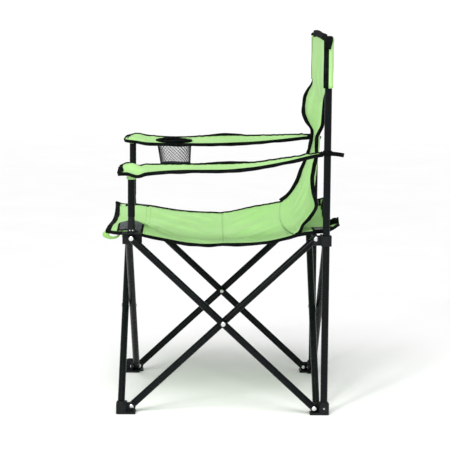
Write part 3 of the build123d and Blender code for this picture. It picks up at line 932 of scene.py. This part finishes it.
for side, grid in arm.items():
    body = f"arm_rest_{side}"
    gather = f"arm_{side}"
    extra, seams = [], []
    near_edge, far_edge = ("last_row", "first_row")[:: SIDES[side]]
    # Each tape: its edge, its width, the way it turns toward and by what share.
    tapes = (
        (near_edge, 7.5, -Z, 0.7),
        (far_edge, 7.0, Z, 0.25 + 0.55 * np.exp(-(((grid[0, :, 1] - 6) / 38) ** 2))),
        ("first_column", 12.0, Z, 0.05),
        ("last_column", 8.0, -Z, 0.1),
    )
    for number, (which, width, toward, share) in enumerate(tapes):
        line = rolled(edge(grid, which), toward, share, number + 1.5)
        tape = band(f"arm_{side}_binding_{number}", line, width, 3.0, BLACK_TAPE, number + 6, 0.14)
        extra.append(place(tape, body, gather, "black_webbing"))
        seams.append((line, width - 1.8, 1.7))
    thread = stitches(f"arm_{side}_thread", seams, BLACK_THREAD)
    extra.append(place(thread, body, gather, "black_webbing"))
    faces = grid_faces(*grid.shape[:2])
    if side == "right":
        # The hole for the cup holder: the cloth inside the ring is cut away.
        flat_points = grid.reshape(-1, 3)[:, :2] - cup_middle[:2]
        faces = [f for f in faces if np.hypot(*flat_points[list(f)].mean(0)) > CUP_HOLE]
    obj = cloth_shell(f"arm_{side}_cloth", grid, 0.9, GREEN, faces=faces)
    place(obj, body, gather, "green_fabric", (f"arm_{side}",))
    sewn_to[side] = extra

for side, post in arm_post.items():
    node = f"arm_pocket_{side}"
    low, high = (corner.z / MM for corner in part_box(node))
    a, z = np.meshgrid(full_turn(40), np.linspace(low, high, 14), indexing="ij")
    grid = around(post, SLEEVE_RADIUS + 0.3 * np.sin(3 * a + z / 6), a, z)
    obj = cloth_shell(f"{node}_cloth", grid, 0.9, GREEN, wrap=True)
    sewn_to[side].append(place(obj, f"front_{side}_bracket", None, "green_fabric", (node,)))
    hem = hoop(post, SLEEVE_RADIUS + 0.4, low + 2.6, 50)
    thread = stitches(f"{node}_thread", [(hem, 0, 0.3)], GREEN_THREAD)
    sewn_to[side].append(place(thread, f"front_{side}_bracket", None, "green_fabric"))

STRAP_RADIUS = 9.6
for side, direction in SIDES.items():
    post = rear_post[side]
    node = f"arm_strap_{side}"
    low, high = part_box(node)
    height = (low.z + high.z) / 2 / MM
    width = (high.z - low.z) / MM
    reach = high.y / MM
    outer = post[0] + direction * STRAP_RADIUS
    ring = hoop(post, STRAP_RADIUS, height, 48)[0]
    strap = ribbon(f"{node}_ring", ring, Z, width, 1.7, BLACK_TAPE)
    sewn_to[side].append(place(strap, f"rear_{side}", None, "black_webbing", (node,)))
    # The loose tail runs straight back and droops a little.
    step = (reach - post[1]) / 12
    tail = [(outer, post[1] + k * step, height - 0.024 * k * k) for k in range(13)]
    strap = ribbon(f"{node}_tail", tail, Z, width * 0.85, 2.4, BLACK_TAPE)
    sewn_to[side].append(place(strap, f"rear_{side}", None, "black_webbing"))

# ---------------------------------------------------------------- cup holder
low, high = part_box("cup_ring")
ring_radius = (high.x - low.x) / 2 / MM
angles = full_turn(96)
# The section of the bound ring: rows of how far in from its outside, and how far up.
profile = [
    (-0.3, 0), (0.6, 2.1), (3, 3.1), (5.6, 2.3), (6.8, 0), (5.6, -2.3), (3, -3.1), (0.6, -2.1)
]
rings = []
for inset, rise in [*profile, profile[0]]:
    radius = ring_radius - inset + 0.5 * np.sin(3 * angles)
    height = cup_middle[2] + rise + 1.2 * np.sin(2 * angles + 0.6)
    rings.append(around(cup_middle, radius, angles, height))
grid = np.stack(rings, axis=1)
cup_ring = mesh_object(
    "cup_ring_binding", grid.reshape(-1, 3) * MM, grid_faces(*grid.shape[:2], wrap=True), BLACK_TAPE
)
cup_pieces = [place(cup_ring, "arm_rest_right", "arm_right", "black_webbing", ("cup_ring",))]
seam = hoop(cup_middle, ring_radius - 1.2, cup_middle[2] + 2.6, 120)
thread = stitches("cup_ring_thread", [(seam, 0, 0.3)], BLACK_THREAD)
cup_pieces.append(place(thread, "arm_rest_right", "arm_right", "black_webbing"))

# A short cloth collar hangs inside the ring, and the net is sewn to it.
collar_heights = cup_middle[2] + np.linspace(-0.5, -9.5, 4)
a, z = np.meshgrid(angles, collar_heights, indexing="ij")
grid = around(cup_middle, ring_radius - 5.2 + 0.3 * np.sin(4 * a), a, z)
collar = cloth_shell("cup_collar", grid, 0.9, BLACK_TAPE, wrap=True)
cup_pieces.append(place(collar, "arm_rest_right", "arm_right", "black_webbing"))

net_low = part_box("cup_net")[0].z / MM
net_high = cup_middle[2] - 1.0
NET_COLUMNS, NET_ROWS = 28, 13
# The net's radius at its foot and at its mouth, and how far back its foot leans.
NET_FOOT, NET_MOUTH, NET_LEAN = 36, 42, 4
points, faces = [], []
for row in range(NET_ROWS + 1):
    share = row / NET_ROWS
    radius = NET_FOOT + (NET_MOUTH - NET_FOOT) * share
    for column in range(NET_COLUMNS):
        angle = 2 * math.pi * (column + 0.5 * (row % 2)) / NET_COLUMNS
        fold = 1 + 0.03 * math.sin(3 * angle + 1) * (1 - share)
        points.append(
            (
                cup_middle[0] + radius * fold * math.cos(angle),
                cup_middle[1] + NET_LEAN * (1 - share) + radius * fold * math.sin(angle),
                net_low + 2 + (net_high - net_low - 2) * share,
            )
        )
for row in range(NET_ROWS - 1):
    for column in range(NET_COLUMNS):
        side = column if row % 2 else (column - 1) % NET_COLUMNS
        low = row * NET_COLUMNS + column
        left = (row + 1) * NET_COLUMNS + side
        right = (row + 1) * NET_COLUMNS + (side + 1) % NET_COLUMNS
        top = (row + 2) * NET_COLUMNS + column
        faces.append((low, right, top, left))
net = mesh_object("cup_net_cords", np.array(points) * MM, faces, NET)
wire = net.modifiers.new("wire", "WIREFRAME")
wire.thickness = 1.75 * MM
wire.use_replace = True
wire.use_even_offset = False
final_mesh(net)
cup_pieces.append(place(net, "arm_rest_right", "arm_right", "grey_net", ("cup_net",)))

# A cloth disc closes the net's foot, with its rim turned up inside the cords.
net_axis = (cup_middle[0], cup_middle[1] + NET_LEAN)
rings = []
for radius, height in ((36.6, 3.4), (36.9, 2.2), (35.5, 0.9), (20, 0.5), (0.4, 0.2)):
    ripple = 0.5 * np.sin(4 * angles) * radius / NET_FOOT
    rings.append(around(net_axis, radius, angles, net_low + height + ripple))
floor_disc = cloth_shell("cup_net_floor", np.stack(rings, axis=1), 0.8, NET, wrap=True)
cup_pieces.append(place(floor_disc, "arm_rest_right", "arm_right", "grey_net"))
sewn_to["right"] += cup_pieces

# ---------------------------------------------------------------- light, floor and camera
def strip_light(name, at, power):
    """A tall narrow light that faces the seat."""
    data = bpy.data.lights.new(name, "AREA")
    data.shape = "RECTANGLE"
    data.size, data.size_y = 0.3, 1.5
    data.energy = power
    lamp = bpy.data.objects.new(name, data)
    lamp.location = at
    lamp.rotation_euler = (Vector((0, 0, 0.4)) - Vector(at)).to_track_quat("-Z", "Y").to_euler()
    bpy.context.scene.collection.objects.link(lamp)


strip_light("strip_front", (3.0, -1.3, 1.9), 42)
strip_light("strip_rear", (3.0, 1.6, 1.9), 15)
sun_data = bpy.data.lights.new("soft_sun", "SUN")
sun_data.energy = 2.05
sun_data.angle = math.radians(34)
sun = bpy.data.objects.new("soft_sun", sun_data)
sun.rotation_euler = Vector((-0.5, 0.12, -0.85)).to_track_quat("-Z", "Y").to_euler()
bpy.context.scene.collection.objects.link(sun)

world = bpy.data.worlds.new("studio")
world.use_nodes = True
background = world.node_tree.nodes["Background"]
background.inputs["Color"].default_value = (1, 1, 1, 1)
background.inputs["Strength"].default_value = 0.46
bpy.context.scene.world = world

floor_material, floor_shader = lit_material("studio_floor_paint", 0.9, specular=0.1)
floor_nodes = Nodes(floor_material, floor_shader)
floor_nodes.finish(
    floor_nodes.ramp(floor_nodes.noise(3), (0.3, (0.90, 0.90, 0.90)), (0.7, (0.92, 0.92, 0.92)))
)
# A wide flat floor whose rim curves up, far behind every view. Rows of a radius and a height.
sweep = [(0.01, 0), (3, 0), (8, 0), (10, 0.25), (12, 1.0), (14, 2.4), (15.5, 4.4)]
FLOOR_SECTORS = 96
turns = full_turn(FLOOR_SECTORS)
rings = [around((0, 0), radius, turns, height) for radius, height in sweep]
floor_grid = np.stack(rings, axis=1)
floor_faces = [face[::-1] for face in grid_faces(FLOOR_SECTORS, len(sweep), wrap=True)]
floor_faces.append(tuple(i * len(sweep) for i in range(FLOOR_SECTORS)))
floor = mesh_object("studio_floor", floor_grid.reshape(-1, 3), floor_faces, floor_material)

# The camera stands at the sitter's left, well back, and looks slightly down.
yaw, pitch, roll = (math.radians(a) for a in (-0.547, 7.40, 0.433))
forward = Vector(
    (-math.cos(pitch) * math.cos(yaw), -math.cos(pitch) * math.sin(yaw), -math.sin(pitch))
)
right = forward.cross(Vector((0, 0, 1))).normalized()
up = right.cross(forward)
camera_right = right * math.cos(roll) + up * math.sin(roll)
camera_up = up * math.cos(roll) - right * math.sin(roll)
turned = Matrix((camera_right, camera_up, -forward)).transposed().to_4x4()
camera_data = bpy.data.cameras.new("camera")
camera_data.lens = 136.4
camera_data.sensor_width = 36
camera = bpy.data.objects.new("camera", camera_data)
camera.matrix_world = Matrix.Translation((3.9584, -0.0332, 0.9109)) @ turned
bpy.context.scene.collection.objects.link(camera)
bpy.context.scene.camera = camera
bpy.context.scene.view_settings.view_transform = "Standard"
